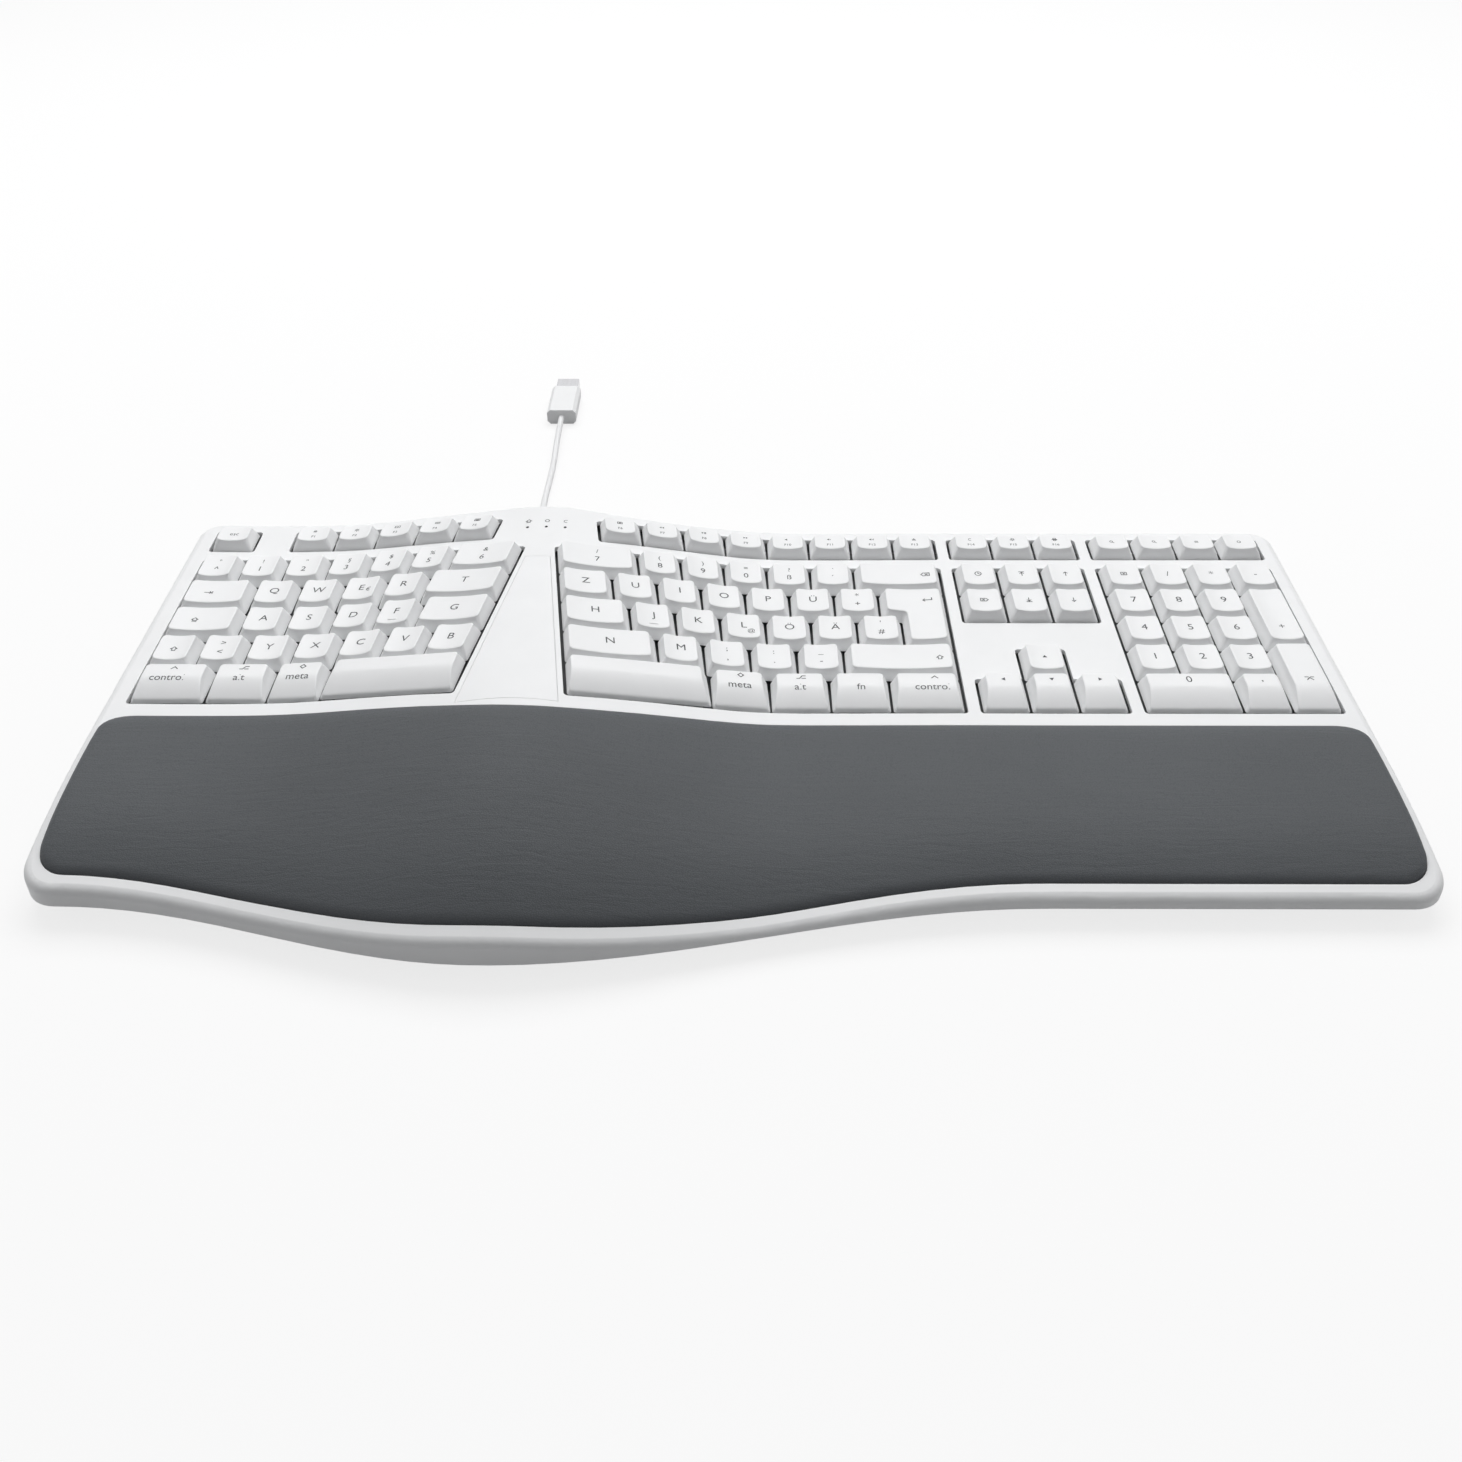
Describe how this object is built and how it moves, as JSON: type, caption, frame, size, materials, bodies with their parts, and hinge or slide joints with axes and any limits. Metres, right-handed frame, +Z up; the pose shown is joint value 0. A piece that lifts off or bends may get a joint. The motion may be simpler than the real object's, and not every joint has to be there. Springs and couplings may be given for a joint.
{
  "type": "ergonomic keyboard",
  "caption": "Wired desktop keyboard with two angled key fields on a raised wave, a keypad, a padded palm rest and fold-out rear legs; every key presses down.",
  "frame": {"origin": "on the desk, below the middle of the case's bounding box", "axes": "+Z up, +X to the user's right along the keyboard, the user sits on the -Y side"},
  "size_m": [0.49, 0.4095, 0.0415],
  "materials": {
    "case_white": "fine satin texture, white ABS",
    "key_white": "satin white keycap plastic",
    "frame_grey": "moulded, unpainted",
    "dome_silicone": "soft translucent silicone",
    "membrane_film": "printed polyester film",
    "plate_steel": "zinc plated sheet and wire",
    "board_green": "solder mask over glass fibre",
    "led_body": "clear lamp body",
    "window_dark": "dark translucent light pipe",
    "foam_grey": "open cell foam",
    "palm_leather": "fine grained dark grey synthetic leather",
    "screw_steel": "zinc plated",
    "foot_rubber": "matt rubber",
    "cord_white": "smooth soft vinyl",
    "tie_black": "ribbed plastic strap",
    "plug_steel": "nickel plated sheet"
  },
  "bodies": {
    "case": {"top_case": "case_white", "bottom_case": "case_white", "centre_panel": "case_white", "key_guide_frame": "frame_grey", "dome_sheet": "dome_silicone", "membrane": "membrane_film", "backplate": "plate_steel", "controller_board": "board_green", "tail_clamp": "frame_grey", "indicator_leds": "led_body", "led_windows": "window_dark", "palm_rest_tray": "frame_grey", "palm_rest_foam": "foam_grey", "palm_rest_cover": "palm_leather", "case_screws": "screw_steel", "frame_screws": "screw_steel", "board_screws": "screw_steel", "rubber_feet": "foot_rubber", "cord_strain_relief": "cord_white", "cord": "cord_white", "cord_hank": "cord_white", "cord_tie": "tie_black", "usb_plug_grip": "cord_white", "usb_plug_shell": "plug_steel"},
    "key_escape": {"key_escape": "key_white"},
    "keys_f1_to_f5": {"keys_f1_to_f5": "key_white"},
    "keys_f6_to_f13": {"keys_f6_to_f13": "key_white"},
    "keys_f14_to_f16": {"keys_f14_to_f16": "key_white"},
    "keys_keypad_function": {"keys_keypad_function": "key_white"},
    "keys_number_left": {"keys_number_left": "key_white"},
    "keys_number_right": {"keys_number_right": "key_white"},
    "key_backspace": {"key_backspace": "key_white"},
    "keys_upper_left": {"keys_upper_left": "key_white"},
    "keys_upper_right": {"keys_upper_right": "key_white"},
    "key_enter": {"key_enter": "key_white"},
    "keys_home_left": {"keys_home_left": "key_white"},
    "keys_home_right": {"keys_home_right": "key_white"},
    "keys_lower_left": {"keys_lower_left": "key_white"},
    "keys_lower_right": {"keys_lower_right": "key_white"},
    "key_shift_right": {"key_shift_right": "key_white"},
    "keys_bottom_left": {"keys_bottom_left": "key_white"},
    "key_space_left": {"key_space_left": "key_white"},
    "key_space_right": {"key_space_right": "key_white"},
    "keys_bottom_right": {"keys_bottom_right": "key_white"},
    "keys_navigation_upper": {"keys_navigation_upper": "key_white"},
    "keys_navigation_lower": {"keys_navigation_lower": "key_white"},
    "key_arrow_up": {"key_arrow_up": "key_white"},
    "keys_arrows_lower": {"keys_arrows_lower": "key_white"},
    "keys_keypad_operators": {"keys_keypad_operators": "key_white"},
    "keys_keypad_789": {"keys_keypad_789": "key_white"},
    "key_keypad_plus": {"key_keypad_plus": "key_white"},
    "keys_keypad_456": {"keys_keypad_456": "key_white"},
    "keys_keypad_123": {"keys_keypad_123": "key_white"},
    "key_keypad_enter": {"key_keypad_enter": "key_white"},
    "key_keypad_zero": {"key_keypad_zero": "key_white"},
    "key_keypad_comma": {"key_keypad_comma": "key_white"},
    "tilt_leg_left": {"tilt_leg_left": "case_white"},
    "tilt_leg_right": {"tilt_leg_right": "case_white"},
    "stabiliser_left": {"stabiliser_left": "plate_steel"},
    "stabiliser_right": {"stabiliser_right": "plate_steel"}
  },
  "joints": [
    {"name": "key_escape_press", "type": "slide", "parent": "case", "child": "key_escape", "axis": [0, 0, -1], "range_m": [0, 0.0036], "stiffness_N_per_m": 200, "springref_m": -0.001, "deforming": ["dome_sheet"]},
    {"name": "keys_f1_to_f5_press", "type": "slide", "parent": "case", "child": "keys_f1_to_f5", "axis": [0, 0, -1], "range_m": [0, 0.0036], "stiffness_N_per_m": 1000, "springref_m": -0.001},
    {"name": "keys_f6_to_f13_press", "type": "slide", "parent": "case", "child": "keys_f6_to_f13", "axis": [0, 0, -1], "range_m": [0, 0.0036], "stiffness_N_per_m": 1600, "springref_m": -0.001},
    {"name": "keys_f14_to_f16_press", "type": "slide", "parent": "case", "child": "keys_f14_to_f16", "axis": [0, 0, -1], "range_m": [0, 0.0036], "stiffness_N_per_m": 600, "springref_m": -0.001},
    {"name": "keys_keypad_function_press", "type": "slide", "parent": "case", "child": "keys_keypad_function", "axis": [0, 0, -1], "range_m": [0, 0.0036], "stiffness_N_per_m": 800, "springref_m": -0.001},
    {"name": "keys_number_left_press", "type": "slide", "parent": "case", "child": "keys_number_left", "axis": [0, 0, -1], "range_m": [0, 0.0036], "stiffness_N_per_m": 1400, "springref_m": -0.001},
    {"name": "keys_number_right_press", "type": "slide", "parent": "case", "child": "keys_number_right", "axis": [0, 0, -1], "range_m": [0, 0.0036], "stiffness_N_per_m": 1200, "springref_m": -0.001},
    {"name": "key_backspace_press", "type": "slide", "parent": "case", "child": "key_backspace", "axis": [0, 0, -1], "range_m": [0, 0.0036], "stiffness_N_per_m": 200, "springref_m": -0.001},
    {"name": "keys_upper_left_press", "type": "slide", "parent": "case", "child": "keys_upper_left", "axis": [0, 0, -1], "range_m": [0, 0.0036], "stiffness_N_per_m": 1200, "springref_m": -0.001},
    {"name": "keys_upper_right_press", "type": "slide", "parent": "case", "child": "keys_upper_right", "axis": [0, 0, -1], "range_m": [0, 0.0036], "stiffness_N_per_m": 1400, "springref_m": -0.001},
    {"name": "key_enter_press", "type": "slide", "parent": "case", "child": "key_enter", "axis": [0, 0, -1], "range_m": [0, 0.0036], "stiffness_N_per_m": 200, "springref_m": -0.001},
    {"name": "keys_home_left_press", "type": "slide", "parent": "case", "child": "keys_home_left", "axis": [0, 0, -1], "range_m": [0, 0.0036], "stiffness_N_per_m": 1200, "springref_m": -0.001},
    {"name": "keys_home_right_press", "type": "slide", "parent": "case", "child": "keys_home_right", "axis": [0, 0, -1], "range_m": [0, 0.0036], "stiffness_N_per_m": 1400, "springref_m": -0.001},
    {"name": "keys_lower_left_press", "type": "slide", "parent": "case", "child": "keys_lower_left", "axis": [0, 0, -1], "range_m": [0, 0.0036], "stiffness_N_per_m": 1400, "springref_m": -0.001},
    {"name": "keys_lower_right_press", "type": "slide", "parent": "case", "child": "keys_lower_right", "axis": [0, 0, -1], "range_m": [0, 0.0036], "stiffness_N_per_m": 1000, "springref_m": -0.001},
    {"name": "key_shift_right_press", "type": "slide", "parent": "case", "child": "key_shift_right", "axis": [0, 0, -1], "range_m": [0, 0.0036], "stiffness_N_per_m": 200, "springref_m": -0.001},
    {"name": "keys_bottom_left_press", "type": "slide", "parent": "case", "child": "keys_bottom_left", "axis": [0, 0, -1], "range_m": [0, 0.0036], "stiffness_N_per_m": 600, "springref_m": -0.001},
    {"name": "key_space_left_press", "type": "slide", "parent": "case", "child": "key_space_left", "axis": [0, 0, -1], "range_m": [0, 0.0036], "stiffness_N_per_m": 200, "springref_m": -0.001},
    {"name": "key_space_right_press", "type": "slide", "parent": "case", "child": "key_space_right", "axis": [0, 0, -1], "range_m": [0, 0.0036], "stiffness_N_per_m": 200, "springref_m": -0.001},
    {"name": "keys_bottom_right_press", "type": "slide", "parent": "case", "child": "keys_bottom_right", "axis": [0, 0, -1], "range_m": [0, 0.0036], "stiffness_N_per_m": 800, "springref_m": -0.001},
    {"name": "keys_navigation_upper_press", "type": "slide", "parent": "case", "child": "keys_navigation_upper", "axis": [0, 0, -1], "range_m": [0, 0.0036], "stiffness_N_per_m": 600, "springref_m": -0.001},
    {"name": "keys_navigation_lower_press", "type": "slide", "parent": "case", "child": "keys_navigation_lower", "axis": [0, 0, -1], "range_m": [0, 0.0036], "stiffness_N_per_m": 600, "springref_m": -0.001},
    {"name": "key_arrow_up_press", "type": "slide", "parent": "case", "child": "key_arrow_up", "axis": [0, 0, -1], "range_m": [0, 0.0036], "stiffness_N_per_m": 200, "springref_m": -0.001},
    {"name": "keys_arrows_lower_press", "type": "slide", "parent": "case", "child": "keys_arrows_lower", "axis": [0, 0, -1], "range_m": [0, 0.0036], "stiffness_N_per_m": 600, "springref_m": -0.001},
    {"name": "keys_keypad_operators_press", "type": "slide", "parent": "case", "child": "keys_keypad_operators", "axis": [0, 0, -1], "range_m": [0, 0.0036], "stiffness_N_per_m": 800, "springref_m": -0.001},
    {"name": "keys_keypad_789_press", "type": "slide", "parent": "case", "child": "keys_keypad_789", "axis": [0, 0, -1], "range_m": [0, 0.0036], "stiffness_N_per_m": 600, "springref_m": -0.001},
    {"name": "key_keypad_plus_press", "type": "slide", "parent": "case", "child": "key_keypad_plus", "axis": [0, 0, -1], "range_m": [0, 0.0036], "stiffness_N_per_m": 200, "springref_m": -0.001},
    {"name": "keys_keypad_456_press", "type": "slide", "parent": "case", "child": "keys_keypad_456", "axis": [0, 0, -1], "range_m": [0, 0.0036], "stiffness_N_per_m": 600, "springref_m": -0.001},
    {"name": "keys_keypad_123_press", "type": "slide", "parent": "case", "child": "keys_keypad_123", "axis": [0, 0, -1], "range_m": [0, 0.0036], "stiffness_N_per_m": 600, "springref_m": -0.001},
    {"name": "key_keypad_enter_press", "type": "slide", "parent": "case", "child": "key_keypad_enter", "axis": [0, 0, -1], "range_m": [0, 0.0036], "stiffness_N_per_m": 200, "springref_m": -0.001},
    {"name": "key_keypad_zero_press", "type": "slide", "parent": "case", "child": "key_keypad_zero", "axis": [0, 0, -1], "range_m": [0, 0.0036], "stiffness_N_per_m": 200, "springref_m": -0.001},
    {"name": "key_keypad_comma_press", "type": "slide", "parent": "case", "child": "key_keypad_comma", "axis": [0, 0, -1], "range_m": [0, 0.0036], "stiffness_N_per_m": 200, "springref_m": -0.001},
    {"name": "tilt_leg_left_fold", "type": "hinge", "parent": "case", "child": "tilt_leg_left", "pos_m": [-0.175, 0.108, 0.0022], "axis": [1, 0, 0], "range_deg": [0, 88]},
    {"name": "tilt_leg_right_fold", "type": "hinge", "parent": "case", "child": "tilt_leg_right", "pos_m": [0.175, 0.108, 0.0022], "axis": [1, 0, 0], "range_deg": [0, 88]},
    {"name": "stabiliser_left_turn", "type": "hinge", "parent": "case", "child": "stabiliser_left", "pos_m": [-0.15229, 0.00754, 0.02195], "axis": [0.9758, -0.1237, 0.1805], "range_deg": [0, 26.74]},
    {"name": "stabiliser_right_turn", "type": "hinge", "parent": "case", "child": "stabiliser_right", "pos_m": [-0.0584, 0.00025, 0.02987], "axis": [0.9652, 0.1335, -0.2249], "range_deg": [0, 26.74]}
  ],
  "couplings": [
    {"joint": "stabiliser_left_turn", "follows": "key_space_left_press", "rad_per_m": 128.21},
    {"joint": "stabiliser_right_turn", "follows": "key_space_right_press", "rad_per_m": 128.21}
  ]
}
